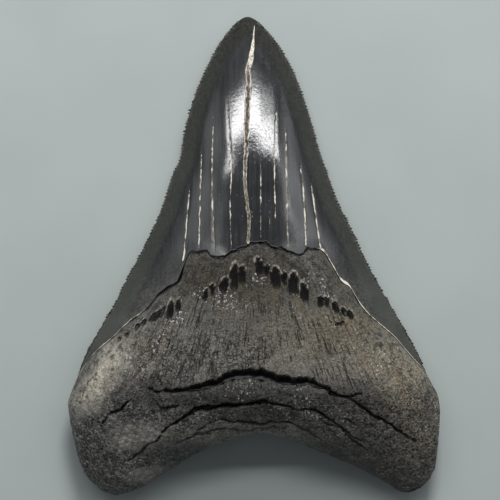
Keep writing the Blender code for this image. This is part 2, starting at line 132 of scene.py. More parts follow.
# How finely the two pieces are divided: rows up the tooth and columns across it.
CROWN_ROWS = 400
CROWN_BACK_ROWS = 110
WING_COLUMNS = 32  # from a cutting edge to the first crack
CRACK_GAP_COLUMNS = 4  # between two cracks
SPLIT_COLUMNS = 9
LEFT_WING_BUNCHING = 1.15
RIGHT_WING_BUNCHING = 0.87
CLOSEST_COLUMNS = 0.012
LEVEL_ROWS_Y = -10.0  # where the crown's rows would start if they didn't follow its lower edge
ROOT_UPPER_GRID = (330, 200)  # columns, rows
ROOT_LOWER_GRID = (150, 80)
ROOT_SIDE_BUNCHING = 0.6
ROOT_BASE_BUNCHING = 0.7

# Lengthwise cracks of the enamel from left to right: (route up the crown, how open it is). The short ones
# name the two long ones that they run between.
CENTRE_SPLIT = "centre_split"
LONG_CRACKS = {
    "left_wing_end": ([(-17.8, -1.3), (-17.0, 8.9), (-15.8, 21.7)], 0.9),
    "left_third": ([(-13.9, 1.3), (-13.6, 16.0), (-13.1, 31.7)], 0.8),
    "left_second": ([(-9.9, 0.5), (-10.6, 16.6), (-10.3, 34.5), (-10.1, 39.6)], 1.0),
    "left_first": ([(-5.7, 1.8), (-6.0, 12.8), (-5.7, 20.4), (-6.2, 29.4), (-6.8, 39.6), (-6.6, 45.7)], 0.9),
    CENTRE_SPLIT: (
        [(-1.5, 3.0), (-1.2, 8.4), (-2.1, 16.1), (-2.3, 20.2), (-2.0, 27.0), (-1.6, 39.1), (-1.3, 43.9),
         (-1.5, 47.3), (-0.8, 49.8), (-0.5, 52.1), (0.0, 56.5), (0.2, 59.6)], 1.0,
    ),
    "right_first": ([(1.7, 4.3), (1.7, 16.0), (1.8, 28.6)], 0.8),
    "right_second": ([(5.4, 9.0), (5.2, 21.7), (5.7, 39.6), (5.7, 42.4)], 0.8),
    "right_third": ([(8.6, 2.0), (8.2, 19.1), (8.1, 30.6), (8.0, 35.8)], 1.0),
    "right_fourth": ([(13.1, 2.5), (12.6, 15.3), (11.2, 27.3)], 0.9),
    "right_wing_end": ([(16.8, 2.0), (15.4, 12.0), (14.1, 21.2)], 0.9),
}
SHORT_CRACKS = {
    "left_spur": ("left_second", "left_first", [(-8.4, 0.5), (-8.7, 6.5)], 0.5),
    "beside_split": ("left_first", CENTRE_SPLIT, [(-2.9, 3.5), (-2.8, 19.5)], 0.35),
    "right_hair": (CENTRE_SPLIT, "right_first", [(-0.6, 8.9), (-0.5, 15.3), (-0.1, 17.4), (-0.1, 30.1)], 0.3),
    "right_spur": ("right_first", "right_second", [(4.0, 3.6), (3.9, 15.3)], 0.6),
}
CRACK_HALF_WIDTH = 0.28
CRACK_DEPTH = 0.05
CRACK_SPACING = 0.8  # the least between two cracks where the crown is wide
# Half the width of the split in the middle, read along Y.
SPLIT_HALF_WIDTH = [
    (2.0, 0.5), (10.0, 0.55), (22.0, 0.6), (30.0, 0.75), (39.0, 0.95), (46.0, 1.15), (50.0, 1.3),
    (53.0, 1.15), (56.5, 0.6), (59.6, 0.5),
]
SPLIT_DEPTH = 0.5

# Drying cracks of the root, as (route, width, depth).
FISSURES = [
    ([
        (-26.0, -33.2), (-24.0, -34.0), (-22.0, -33.9), (-17.9, -33.3), (-13.8, -32.7), (-8.2, -31.0),
        (-2.8, -29.2), (2.1, -29.7), (7.9, -31.0), (13.1, -31.2), (17.4, -32.7), (20.7, -34.8),
        (23.8, -35.0), (26.6, -34.5),
    ], 2.2, 3.2),
    ([
        (22.8, -34.8), (26.6, -37.6), (31.0, -40.7), (34.3, -42.5), (37.3, -45.0), (40.7, -46.8),
    ], 0.6, 0.8),
    ([
        (-24.6, -46.4), (-20.9, -42.5), (-17.4, -40.4), (-13.8, -38.4), (-8.7, -37.6), (-3.6, -37.3),
        (-1.0, -37.1), (2.1, -36.3), (5.4, -37.3), (7.9, -37.6), (10.5, -38.6),
    ], 1.2, 1.7),
    ([(7.0, -37.3), (10.5, -38.5), (14.3, -38.4), (17.4, -40.2), (21.5, -43.2), (26.6, -46.3)], 0.6, 0.9),
    ([(-38.1, -42.2), (-36.3, -40.2), (-33.2, -38.4), (-30.6, -36.1)], 0.6, 0.7),
    ([(-23.5, -38.6), (-20.9, -37.9), (-18.9, -37.3)], 0.6, 0.6),
    ([
        (-14.0, -43.5), (-11.2, -41.9), (-8.7, -40.9), (-4.8, -41.7), (-1.0, -41.9), (1.6, -42.3),
        (5.9, -41.7), (9.7, -42.1), (13.3, -43.7),
    ], 0.5, 0.5),
]
HAIRLINES = [
    [(-32.2, -52.2), (-28.3, -49.4), (-23.6, -45.4)],
    [(-20.0, -47.3), (-13.8, -44.4), (-6.1, -43.6), (-2.3, -44.2), (1.6, -43.6), (8.4, -43.2)],
    [(16.1, -40.9), (19.5, -42.7), (22.0, -43.7), (25.1, -46.5), (28.4, -49.1)],
    [(6.4, -41.7), (8.5, -41.7), (11.3, -43.0), (13.6, -44.2), (16.6, -46.0)],
    [(-14.8, -45.0), (-12.0, -44.5), (-10.5, -44.5)],
    [(22.8, -40.7), (24.6, -41.9)],
    [(-24.5, -29.8), (-23.2, -31.5)],
]

# Growth pits below the enamel: (middle x, middle y, width, length, lean, darkness).
GROWTH_PITS = [
    (-12.1, -10.0, 1.2, 3.2, -0.26, 1.0), (-10.6, -8.7, 1.3, 3.0, -0.1, 1.0),
    (-7.5, -7.6, 2.0, 4.0, -0.3, 1.0), (-5.0, -5.7, 2.1, 6.8, -0.03, 1.0),
    (-3.0, -5.0, 1.8, 4.7, 0.0, 1.0), (1.4, -3.2, 1.8, 4.8, 0.25, 1.0), (3.3, -3.9, 1.2, 3.4, 0.0, 1.0),
    (5.5, -5.9, 2.5, 5.6, 0.05, 1.0), (7.7, -5.9, 1.2, 3.6, 0.05, 1.0), (10.0, -7.4, 2.6, 5.8, 0.05, 1.0),
    (12.6, -9.5, 1.9, 5.4, 0.2, 1.0), (16.6, -11.7, 1.6, 3.0, -0.1, 0.8),
    (18.2, -11.7, 1.2, 2.8, 0.1, 0.8), (20.5, -13.0, 1.4, 3.4, 0.2, 0.85),
    (22.6, -14.2, 1.4, 2.4, 0.4, 0.8), (24.2, -14.9, 1.5, 2.4, 0.4, 0.85),
    (21.4, -17.1, 2.6, 0.9, 0.3, 0.6), (-25.5, -15.6, 1.1, 3.0, -0.5, 0.7),
    (-24.3, -15.0, 1.1, 3.4, -0.5, 0.75), (-23.0, -14.3, 1.0, 3.6, -0.4, 0.7),
    (-21.0, -13.9, 1.7, 5.2, -0.1, 0.85), (-19.0, -12.6, 1.3, 3.4, -0.1, 0.8),
    (-29.4, -17.9, 1.2, 2.0, -0.7, 0.6), (-27.8, -16.9, 1.2, 2.2, -0.7, 0.6),
    (-34.2, -21.2, 1.3, 1.3, -0.7, 0.5), (-32.1, -20.0, 1.2, 1.6, -0.7, 0.5),
]
PIT_DEPTH = 1.9

# Worn and stained places of the root, and its painted light and shade:
# (middle x, middle y, half width, half height, lean, how much lighter, how much warmer).
TONES = [
    (-39.5, -32.0, 4.5, 9.5, 0.6, 1.9, 0.5), (-29.5, -26.0, 8.0, 4.5, -0.5, 0.4, 0.1),
    (0.0, -24.0, 26.0, 8.0, 0.0, 0.25, 0.1), (33.0, -25.5, 11.0, 6.5, 0.6, 0.55, 0.7),
    (38.5, -33.0, 8.0, 7.0, 0.5, 0.6, 0.7), (46.5, -38.5, 2.0, 5.0, 0.0, 0.6, 0.3),
    (42.0, -45.0, 6.0, 7.0, 0.0, 0.0, 0.6), (0.0, -35.6, 24.0, 3.4, 0.0, -1.9, 0.0),
    (28.0, -41.0, 9.0, 6.0, -0.5, -0.8, 0.1), (0.0, -45.5, 22.0, 5.5, 0.0, 1.3, 0.25),
    (33.0, -54.0, 13.0, 7.0, -0.4, -0.4, 0.35), (-35.0, -40.0, 6.0, 5.0, 0.0, 0.5, 0.0),
    (-30.0, -46.0, 7.0, 4.0, 0.5, 0.8, 0.1), (-42.0, -53.0, 5.0, 7.0, 0.0, 0.2, 0.1),
    (-27.0, -55.0, 8.0, 3.0, 0.5, 0.9, 0.05), (0.0, -6.0, 17.0, 8.0, 0.0, -1.25, 0.6),
    (19.5, -5.5, 6.0, 8.0, -0.7, -0.6, 0.25), (9.6, -2.1, 1.1, 3.6, -1.0, -1.3, 0.2),
    (14.5, -2.8, 4.0, 3.6, -0.6, 1.1, -0.5), (-14.0, -6.5, 6.0, 6.0, 0.6, -0.5, 0.3),
    (8.0, -20.0, 9.0, 8.0, 0.0, 0.0, 0.4), (20.0, -20.0, 8.0, 6.0, 0.3, -0.1, 0.65),
    (26.0, -16.5, 9.0, 3.5, -0.75, 0.1, 0.7), (-31.0, -21.0, 9.0, 2.5, 0.7, 0.2, 0.15),
]

# The enamel's lower edge shows pale on the wings and painted black shade along the middle, parted by a
# slanted border.
BORDER_SLANT = 0.35
WING_BELOW, MIDDLE_ABOVE = -0.0048, -0.0038

CAMERA_HEIGHT = 0.6
VIEW_CENTRE = (-1.0, 1.25)
VIEW_WIDTH = 127.8  # across the picture at the height of the rim


def smooth_reading(table, at):
    """A smooth curve through (position, value) pairs, read at the given positions."""
    x, y = np.array(table, float).T
    slope = np.gradient(y, x)
    at = np.clip(at, x[0], x[-1])
    i = np.clip(np.searchsorted(x, at, side="right") - 1, 0, len(x) - 2)
    span = x[i + 1] - x[i]
    t = (at - x[i]) / span
    rise = y[i] * (1 + 2 * t) * (1 - t) ** 2 + y[i + 1] * t * t * (3 - 2 * t)
    return rise + span * (slope[i] * t * (1 - t) ** 2 - slope[i + 1] * t * t * (1 - t))


def smooth_line(points, count):
    """count points evenly spaced along a smooth curve through the given ones."""
    points = np.array(points, float)
    knots = np.append(0, np.cumsum(np.linalg.norm(np.diff(points, axis=0), axis=1)))
    fine = np.linspace(0, knots[-1], 30 * len(points))
    line = np.stack([smooth_reading(list(zip(knots, points[:, k])), fine) for k in range(2)], axis=1)
    return spread_points(line, np.linspace(0, 1, count))


def spread_points(line, shares):
    """Points at the given shares of a line's length."""
    along = np.append(0, np.cumsum(np.linalg.norm(np.diff(line, axis=0), axis=1)))
    at = np.asarray(shares) * along[-1]
    return np.stack([np.interp(at, along, line[:, k]) for k in range(line.shape[1])], axis=1)


def ramp(value, low, high):
    """0 below low, 1 above high, and smooth between."""
    t = np.clip((value - low) / (high - low), 0, 1)
    return t * t * (3 - 2 * t)


def quarter_round(distance, radius):
    """The rise of a quarter circle of that radius, as a share of it."""
    t = np.clip(distance / radius, 0, 1)
    return np.sqrt(t * (2 - t))


def nearest_on(line, x, y):
    """Distance from each (x, y) to a line of points, and how far along the line, 0 to 1, it is nearest."""
    best = np.full(np.shape(x), np.inf)
    share = np.zeros(np.shape(x))
    for k in range(len(line) - 1):
        start, step = line[k], line[k + 1] - line[k]
        t = np.clip(((x - start[0]) * step[0] + (y - start[1]) * step[1]) / (step @ step), 0, 1)
        distance = np.hypot(x - start[0] - t * step[0], y - start[1] - t * step[1])
        share = np.where(distance < best, (k + t) / (len(line) - 1), share)
        best = np.minimum(best, distance)
    return best, share


def distance_to(line, x, y):
    return nearest_on(line, x, y)[0]


def noise_at(points, size, seed=0.0, octaves=1):
    """Smooth noise, about -1 to 1, with features of that size in millimetres."""
    flat = points.reshape(-1, points.shape[-1])
    if flat.shape[1] == 2:
        flat = np.column_stack([flat, np.zeros(len(flat))])
    total = np.zeros(len(flat))
    for octave in range(octaves):
        scaled = flat * (2**octave / size) + seed + 17.3 * octave
        total += np.array([noise.noise(Vector(p)) for p in scaled]) / 2**octave
    return total.reshape(points.shape[:-1])


def eased(side):
    """A side of the tooth without its small steps, as even (y, x) pairs, for the curve of the faces."""
    y = np.linspace(side[0, 1], side[-1, 1], 480)
    x = np.interp(y, side[:, 1], side[:, 0])
    weights = np.exp(-(((y[:, None] - y) / 3.5) ** 2))
    soft = (weights @ x) / weights.sum(axis=1)
    near_end = np.minimum(y - y[0], y[-1] - y)
    return np.stack([y, x + (soft - x) * ramp(near_end, 6, 14)], axis=1)


LEFT_EDGE = smooth_line(LEFT_CUTTING_EDGE, 240)
RIGHT_EDGE = smooth_line(RIGHT_CUTTING_EDGE, 240)
POINT = smooth_line([TIP_LEFT, TIP, TIP_RIGHT], 40)
LEFT_SIDE = smooth_line([BASE_LINE[3], BASE_LINE[1], *LEFT_LOBE_SIDE[:-1], *LEFT_CUTTING_EDGE, TIP], 160)
RIGHT_SIDE = smooth_line([BASE_LINE[-4], BASE_LINE[-2], *RIGHT_LOBE_SIDE[:-1], *RIGHT_CUTTING_EDGE, TIP], 160)
ARCH = smooth_line(BASE_LINE, 100)
LEFT_EASED = eased(LEFT_SIDE)
RIGHT_EASED = eased(RIGHT_SIDE)
UPPER_EDGE = smooth_line(UPPER_ENAMEL_EDGE, 240)
LOWER_EDGE = smooth_line(LOWER_ENAMEL_EDGE, 100)


def across(x, y):
    """Where (x, y) lies between the tooth's sides: -1 at the left, 0 in the middle and 1 at the right."""
    left = np.interp(y, *LEFT_EASED.T)
    right = np.interp(y, *RIGHT_EASED.T)
    return np.clip((2 * x - left - right) / np.maximum(right - left, 0.1), -1, 1)


def side_distance(x, y):
    return np.minimum(distance_to(LEFT_SIDE, x, y), distance_to(RIGHT_SIDE, x, y))


def core_height(x, y):
    rim = smooth_reading(RIM_HEIGHT, y)
    fullness = CROWN_FULLNESS + (ROOT_FULLNESS - CROWN_FULLNESS) * ramp(-y, 0, 35)
    return rim + (smooth_reading(RIDGE_HEIGHT, y) - rim) * (1 - np.abs(across(x, y)) ** fullness)


def crown_upper(x, y):
    return core_height(x, y) + ENAMEL_THICKNESS * ramp(side_distance(x, y), 0, 5)


def crown_lower(x, y):
    rim = smooth_reading(RIM_HEIGHT, y)
    belly = (rim - smooth_reading(KEEL_HEIGHT, y)) * (1 - np.abs(across(x, y)) ** 3)
    return np.maximum(rim - belly, 0)


def root_upper(x, y):
    rim = smooth_reading(RIM_HEIGHT, y)
    to_base = distance_to(ARCH, x, y)
    wings = UPPER_EDGE[np.abs(UPPER_EDGE[:, 0]) > 17]
    to_wing = np.minimum(distance_to(wings[wings[:, 0] < 0], x, y), distance_to(wings[wings[:, 0] > 0], x, y))
    to_side = np.minimum(np.minimum(side_distance(x, y), to_wing), to_base)
    swell = LOBE_SWELL + SHOULDER_SWELL * np.exp(-(((y - SHOULDER_Y) / 12) ** 2))
    swell *= 1 - (1 - ramp(np.abs(across(x, y)), 0.25, 0.7)) * ramp(y, -45, -25)
    swell *= y < np.interp(x, UPPER_EDGE[:, 0], UPPER_EDGE[:, 1])
    arched = (core_height(x, y) - rim) * quarter_round(to_base, BASE_ROUNDING)
    return rim + arched + swell * quarter_round(to_side, SIDE_ROUNDING)


def root_lower(x, y):
    rim = smooth_reading(RIM_HEIGHT, y)
    to_side = np.minimum(side_distance(x, y), distance_to(ARCH, x, y))
    hollow = UNDERSIDE_HOLLOW * (1 - ramp(np.abs(x), 14, 30))
    lobes = rim - (rim - hollow) * quarter_round(to_side, UNDERSIDE_ROUNDING)
    below_enamel = ramp(np.interp(x, LOWER_EDGE[:, 0], LOWER_EDGE[:, 1]) - y, 0, 14)
    recess = ENAMEL_THICKNESS * ramp(side_distance(x, y), 0, 5)
    return lobes * below_enamel + (crown_lower(x, y) + recess) * (1 - below_enamel)


def patch(bottom, top, left, right):
    """(rows + 1, columns + 1, 2) points that fill a four-sided outline."""
    u = np.linspace(0, 1, len(bottom))[None, :, None]
    v = np.linspace(0, 1, len(left))[:, None, None]
    low_corners = (1 - u) * (1 - v) * bottom[0] + u * (1 - v) * bottom[-1]
    high_corners = (1 - u) * v * top[0] + u * v * top[-1]
    sides = (1 - v) * bottom + v * top + (1 - u) * left[:, None] + u * right[:, None]
    return sides - low_corners - high_corners


def bent_grid(bm, points, layers):
    """Adds a grid bent to the points, with each named layer's numbers. Returns the edges of its sides."""
    rows, columns = points.shape[0] - 1, points.shape[1] - 1
    slots = [(bm.verts.layers.float.get(name) or bm.verts.layers.float.new(name), name) for name in layers]
    made = bmesh.ops.create_grid(bm, x_segments=columns, y_segments=rows, size=0.5)
    place = {(round((v.co.y + 0.5) * rows), round((v.co.x + 0.5) * columns)): v for v in made["verts"]}
    spots = points.tolist()
    values = {name: np.broadcast_to(layer, points.shape[:2]).tolist() for name, layer in layers.items()}
    for (row, column), vertex in place.items():
        vertex.co = spots[row][column]
        for slot, name in slots:
            vertex[slot] = values[name][row][column]
    ends = [[bm.edges.get((place[r, c], place[r, c + 1])) for c in range(columns)] for r in (0, rows)]
    flanks = [[bm.edges.get((place[r, c], place[r + 1, c])) for r in range(rows)] for c in (0, columns)]
    return [*ends, *flanks]


def finished_piece(name, bm, material):
    """A smooth mesh object in metres, its faces pointing out, from a bmesh in millimetres."""
    bm.normal_update()
    bmesh.ops.recalc_face_normals(bm, faces=bm.faces)
    bmesh.ops.scale(bm, vec=(MM, MM, MM), verts=bm.verts)
    mesh = bpy.data.meshes.new(name)
    bm.to_mesh(mesh)
    bm.free()
    mesh.materials.append(material)
    mesh.shade_smooth()
    piece = bpy.data.objects.new(name, mesh)
    bpy.context.scene.collection.objects.link(piece)
    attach(piece, "root")
    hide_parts("tooth")


# The enamel crown

CROWN_Y = np.linspace(-33, 62, 400)  # where the crown's columns are worked out
LEFT_X = np.interp(CROWN_Y, LEFT_EDGE[:, 1], LEFT_EDGE[:, 0])
RIGHT_X = np.interp(CROWN_Y, RIGHT_EDGE[:, 1], RIGHT_EDGE[:, 0])
NARROWING = np.clip((RIGHT_X - LEFT_X) / 30, 0, 1)


def held_share(route, low, high):
    """A crack's place between two lines at every CROWN_Y, with its ends' places held beyond them."""
    line = smooth_line(route, 80)
    x = np.interp(CROWN_Y, line[:, 1], line[:, 0])
    share = (x - low) / (high - low)
    inside = (CROWN_Y >= line[0, 1]) & (CROWN_Y <= line[-1, 1])
    return np.interp(CROWN_Y, CROWN_Y[inside], share[inside])


def opening(route, open_share, taper=0.35):
    """How open a crack is at every CROWN_Y. It closes over that share of its length, at its upper end."""
    low, high = route[0][1], route[-1][1]
    fade = ramp(CROWN_Y, low - 0.6, low + 0.6) * (1 - ramp(CROWN_Y, high - taper * (high - low), high + 0.5))
    return open_share * fade


def crack_lines():
    """(name, x at every CROWN_Y, opening at every CROWN_Y) of each crack, from left to right."""
    lines = {}
    for k, (name, (route, open_share)) in enumerate(LONG_CRACKS.items()):
        share = held_share(route, LEFT_X, RIGHT_X)
        wander = 0.14 * noise_at(np.column_stack([CROWN_Y, CROWN_Y * 0]), 1.8, 3.0 * k, 2)
        taper = 0.04 if name == CENTRE_SPLIT else 0.35
        lines[name] = (LEFT_X + share * (RIGHT_X - LEFT_X) + wander, opening(route, open_share, taper))
    for name, (left, right, route, open_share) in SHORT_CRACKS.items():
        low, high = lines[left][0], lines[right][0]
        share = np.clip(held_share(route, low, high), 0.2, 0.8)
        lines[name] = (low + share * (high - low), opening(route, open_share))
    names = sorted(lines, key=lambda name: lines[name][0][len(CROWN_Y) // 2])
    # Where two lines come close, the one farther from the split gives way.
    centre = names.index(CENTRE_SPLIT)
    for side, order in ((-1, names[centre::-1]), (1, names[centre:])):
        for inner, outer in zip(order[:-1], order[1:]):
            apart = np.maximum(side * (lines[outer][0] - lines[inner][0]), CRACK_SPACING * NARROWING)
            lines[outer] = (lines[inner][0] + side * apart, lines[outer][1])
    return [(name, *lines[name]) for name in names]


def crown_columns():
    """Each column's x at every CROWN_Y, bunched along the cracks, and how open crack and split are there."""
    columns = [LEFT_X]
    crack, split = [np.zeros_like(CROWN_Y)], [np.zeros_like(CROWN_Y)]

    def add(x, crack_value=0, split_value=0):
        columns.append(x)
        crack.append(np.zeros_like(CROWN_Y) + crack_value)
        split.append(np.zeros_like(CROWN_Y) + split_value)

    def fill(start, end, count, curve):
        for k in range(1, count + 1):
            t = k / (count + 1)
            add(start + (end - start) * (t**curve))

    split_at = 0
    for k, (name, x, open_share) in enumerate(crack_lines()):
        half = smooth_reading(SPLIT_HALF_WIDTH, CROWN_Y) if name == CENTRE_SPLIT else CRACK_HALF_WIDTH
        steps = np.linspace(-1, 1, SPLIT_COLUMNS) if name == CENTRE_SPLIT else (-1, 0, 1)
        count, bunching = (WING_COLUMNS, LEFT_WING_BUNCHING) if k == 0 else (CRACK_GAP_COLUMNS, 1)
        fill(columns[-1], x - half * NARROWING, count, bunching)
        split_at = len(columns) if name == CENTRE_SPLIT else split_at
        for step in steps:
            level = (1 - abs(step)) * open_share
            if name == CENTRE_SPLIT:
                add(x + step * half * NARROWING, 0, level)
            else:
                add(x + step * half * NARROWING, level, 0)
    fill(columns[-1], RIGHT_X, WING_COLUMNS, RIGHT_WING_BUNCHING)
    add(RIGHT_X)
    # Near the point the split is wider than the room beside it, so the other columns make way.
    columns = np.array(columns)
    steps = np.arange(len(columns))[:, None]
    last = split_at + SPLIT_COLUMNS - 1
    before = columns[split_at] - CLOSEST_COLUMNS * (split_at - steps)
    after = columns[last] + CLOSEST_COLUMNS * (steps - last)
    columns = np.where(steps < split_at, np.minimum(columns, before), columns)
    columns = np.where(steps > last, np.maximum(columns, after), columns)
    return columns, np.array(crack), np.array(split)


def crown_face(enamel_edge, rows):
    """Points of one face of the crown with its cracks' openings, all (rows + 1, columns)."""
    columns, crack, split = crown_columns()
    edge_y = np.interp(columns, enamel_edge[:, 0], enamel_edge[:, 1])
    above = CROWN_Y[None, :] - edge_y
    first = np.argmax(above >= 0, axis=1)
    before = np.maximum(first - 1, 0)
    pick = np.arange(len(columns))
    part = np.clip(-above[pick, before] / np.maximum(above[pick, first] - above[pick, before], 1e-6), 0, 1)
    low = CROWN_Y[before] + part * (CROWN_Y[first] - CROWN_Y[before])
    edge = np.stack([columns[pick, first], low], axis=1)
    chipped = 0.45 * noise_at(edge, 1.3, 2.0, 3) * ramp(side_distance(edge[:, 0], edge[:, 1]), 1, 8)
    low = low + chipped
    low[0], low[-1] = LEFT_SHOULDER[1], RIGHT_SHOULDER[1]
    top_x = columns[:, -1]
    high = np.interp(top_x, POINT[:, 0], POINT[:, 1])
    # The rows follow the lower edge at first and run straighter across higher up.
    v = np.linspace(0, 1, rows + 1)[:, None]
    y = LEVEL_ROWS_Y * (1 - v) + high * v + (low - LEVEL_ROWS_Y) * (1 - v) ** 3
    x, crack, split = (
        np.stack([np.interp(y[:, c], CROWN_Y, table[c]) for c in pick], axis=1)
        for table in (columns, crack, split)
    )
    return x, y, crack, split


def crown_layers(x, y, crack, split):
    return {
        "crack": crack,
        "split": split,
        "edge": np.minimum(distance_to(LEFT_EDGE, x, y), distance_to(RIGHT_EDGE, x, y)),
        "hem": y - y[0],
    }


def make_crown(material):
    bm = bmesh.new()
    x, y, crack, split = crown_face(UPPER_EDGE, CROWN_ROWS)
    flat = np.stack([x, y], axis=2)
    z = crown_upper(x, y)
    ragged = 1 + 0.35 * noise_at(flat, 1.6, 3.1) + 0.25 * noise_at(flat, 0.6, 8.2)
    z -= CRACK_DEPTH * crack * ragged
    # Matrix fills the split near the point.
    filled = 0.85 * ramp(y, 44, 50)
    z -= SPLIT_DEPTH * (1 - filled) * ramp(split * ragged, 0.35, 0.95)
    z += 0.012 * noise_at(flat, 5.0, 1.7) * ramp(side_distance(x, y), 1, 5)
    layers = crown_layers(x, y, crack, split)
    # The lower edge is rounded over and goes down into the root as a wall.
    points = np.stack([x, y, z], axis=2)
    sinking = ramp(side_distance(x[0], y[0]), 0, 6)
    wall, lip = points[:1].copy(), points[:1].copy()
    wall[0, :, 2] -= ENAMEL_WALL * sinking
    lip[0, :, 2] -= HEM_ROUNDING * sinking
    points[0, :, 1] += 0.6 * HEM_ROUNDING
    points = np.concatenate([wall, lip, points])
    layers = {name: np.concatenate([value[:1], value[:1], value]) for name, value in layers.items()}
    upper_sides = bent_grid(bm, points, layers)
    for k, inward, rim, inner in ((2, 1, 0, 1), (3, -1, -1, -2)):
        room = inward * (np.interp(y[:, rim], y[:, inner], x[:, inner]) - x[:, rim])
        upper_sides[k] = serrated(bm, upper_sides[k], inward, (y[:, rim], room))
    x, y, crack, split = crown_face(LOWER_EDGE, CROWN_BACK_ROWS)
    # The back's rim stays inside the teeth of the cutting edge.
    inset = 0.65 * SERRATION_DEPTH * ramp(y, -31, -26) * (1 - ramp(y, 54, 60))
    apart = CLOSEST_COLUMNS * np.arange(x.shape[1])
    x = np.maximum(x, np.interp(y, CROWN_Y, LEFT_X) + inset + apart)
    x = np.minimum(x, np.interp(y, CROWN_Y, RIGHT_X) - inset - apart[::-1])
    z = crown_lower(x, y)
    for side in (np.s_[-1, :], np.s_[:, 0], np.s_[:, -1]):
        z[side] -= EDGE_THICKNESS
    layers = crown_layers(x, y, 0.6 * crack, 0.4 * split)
    lower_sides = bent_grid(bm, np.stack([x, y, z], axis=2), layers)
    for upper_side, lower_side in zip(upper_sides, lower_sides):
        bmesh.ops.bridge_loops(bm, edges=upper_side + lower_side)
    finished_piece("enamel_crown", bm, material)


def serrated(bm, side, inward, room):
    """Splits a cutting edge finely and bends it into worn saw teeth, within room. Returns its edges."""
    split = bmesh.ops.subdivide_edges(bm, edges=side, cuts=SERRATION_CUTS)["geom_split"]
    pieces = {item for item in split if isinstance(item, bmesh.types.BMEdge) and item.is_boundary}
    pieces |= {edge for edge in side if edge.is_valid}
    rim = sorted({vertex for edge in pieces for vertex in edge.verts}, key=lambda vertex: vertex.co.y)
    steps = [(after.co - before.co).length for before, after in zip(rim[:-1], rim[1:])]
    for along, vertex in zip(np.append(0, np.cumsum(steps)), rim):
        # Wear shortens some teeth, chips break others off, and drift makes their spacing uneven.
        wear = 0.75 + 1.2 * noise.noise(Vector((along / 1.9, inward * 5.0, 0.0)))
        chip = max(0.0, noise.noise(Vector((along / 1.3, inward * 9.0, 4.0))) - 0.2) * 1.1
        drift = 0.7 * noise.noise(Vector((along / 2.6, inward * 7.0, 8.0)))
        tooth = abs(math.sin(math.pi * (along / SERRATION_PITCH + drift))) ** 0.6 - 0.65
        held = min(1.0, max(0.0, (61.0 - vertex.co.y) / 5.0)) * min(1.0, max(0.0, (vertex.co.y + 30.5) / 4.0))
        notch = -0.9 * np.interp(vertex.co.y, *room)
        vertex.co.x -= inward * max(held * (SERRATION_DEPTH * max(0.3, wear) * tooth - chip), notch)
    return list(pieces)


# The root

def lapped(edge):
    """The enamel's lower edge moved up under it, its notches filled, but never out to the tooth's side."""
    x, y = edge[4:-4].T
    reach = np.minimum(ENAMEL_LAP, 0.4 * side_distance(x, y))
    around = x + reach * np.linspace(-1, 1, 9)[:, None]
    highest = np.interp(around, edge[:, 0], edge[:, 1]).max(axis=0)
    moved = np.stack([x, highest + 0.5 * reach], axis=1)
    return np.concatenate([[LEFT_UNDER_ENAMEL], moved, [RIGHT_UNDER_ENAMEL]])


def root_face(enamel_edge, columns, rows, height_of, rim_drop, core_drop):
    t = np.linspace(0, 1, columns + 1)
    across_shares = t + ROOT_SIDE_BUNCHING * ((1 - np.cos(np.pi * t)) / 2 - t)
    t = np.linspace(0, 1, rows + 1)
    up_shares = t + ROOT_BASE_BUNCHING * (1 - np.cos(np.pi * t / 2) - t)
    flat = patch(
        spread_points(ARCH, across_shares), spread_points(lapped(enamel_edge), across_shares),
        spread_points(smooth_line(LEFT_LOBE_SIDE, 80), up_shares),
        spread_points(smooth_line(RIGHT_LOBE_SIDE, 80), up_shares),
    )
    x, y = flat[..., 0], flat[..., 1]
    height = height_of(x, y)
    for side in (np.s_[0, :], np.s_[:, 0], np.s_[:, -1]):
        height[side] = smooth_reading(RIM_HEIGHT, y[side]) - rim_drop
    height[-1, 1:-1] -= core_drop * ramp(side_distance(x[-1, 1:-1], y[-1, 1:-1]), 0, 8)
    return np.stack([x, y, height], axis=2)


def grid_normals(points):
    along, up = np.gradient(points, axis=1), np.gradient(points, axis=0)
    normal = np.cross(along, up)
    return normal / np.maximum(np.linalg.norm(normal, axis=2, keepdims=True), 1e-9)


def crevices(points):
    """Depth of the drying cracks and the shade painted inside each, for the upper face."""
    x, y = points[..., 0], points[..., 1]
    flat = points[..., :2]
    wander = np.stack([noise_at(flat, 2.6, 5.0, 3), noise_at(flat, 2.6, 11.0, 3)], axis=2) * 0.5
    x, y = x + wander[..., 0], y + wander[..., 1]
    width_noise = 1 + 0.6 * noise_at(flat, 4.0, 21.0) + 0.35 * noise_at(flat, 1.3, 23.0)
    ragged = 0.3 * noise_at(flat, 0.9, 29.0, 2)
    depth = np.zeros(x.shape)
    painted_shade = np.zeros(x.shape)
    for route, width, deepest in FISSURES:
        distance, share = nearest_on(smooth_line(route, 50), x, y)
        size = 0.15 + 0.85 * ramp(np.minimum(share, 1 - share), 0, 0.42)
        half = np.maximum(0.5 * width * size * width_noise, 0.16)
        inside = 1 - ramp(distance + ragged, 0.45 * half, half)
        lip = np.exp(-((distance / (3 * half)) ** 2))
        depth = np.maximum(depth, deepest * size**0.7 * inside + 0.3 * size * lip)
        painted_shade = np.maximum(painted_shade, 1 - ramp(distance + ragged, 0.7 * half, 1.15 * half + 0.08))
    for route in HAIRLINES:
        distance, share = nearest_on(smooth_line(route, 30), x, y)
        inside = (1 - ramp(distance, 0.1, 0.38)) * (0.5 + 0.5 * ramp(np.minimum(share, 1 - share), 0, 0.2))
        depth = np.maximum(depth, 0.35 * inside)
        painted_shade = np.maximum(painted_shade, 0.85 * inside)
    return depth, painted_shade


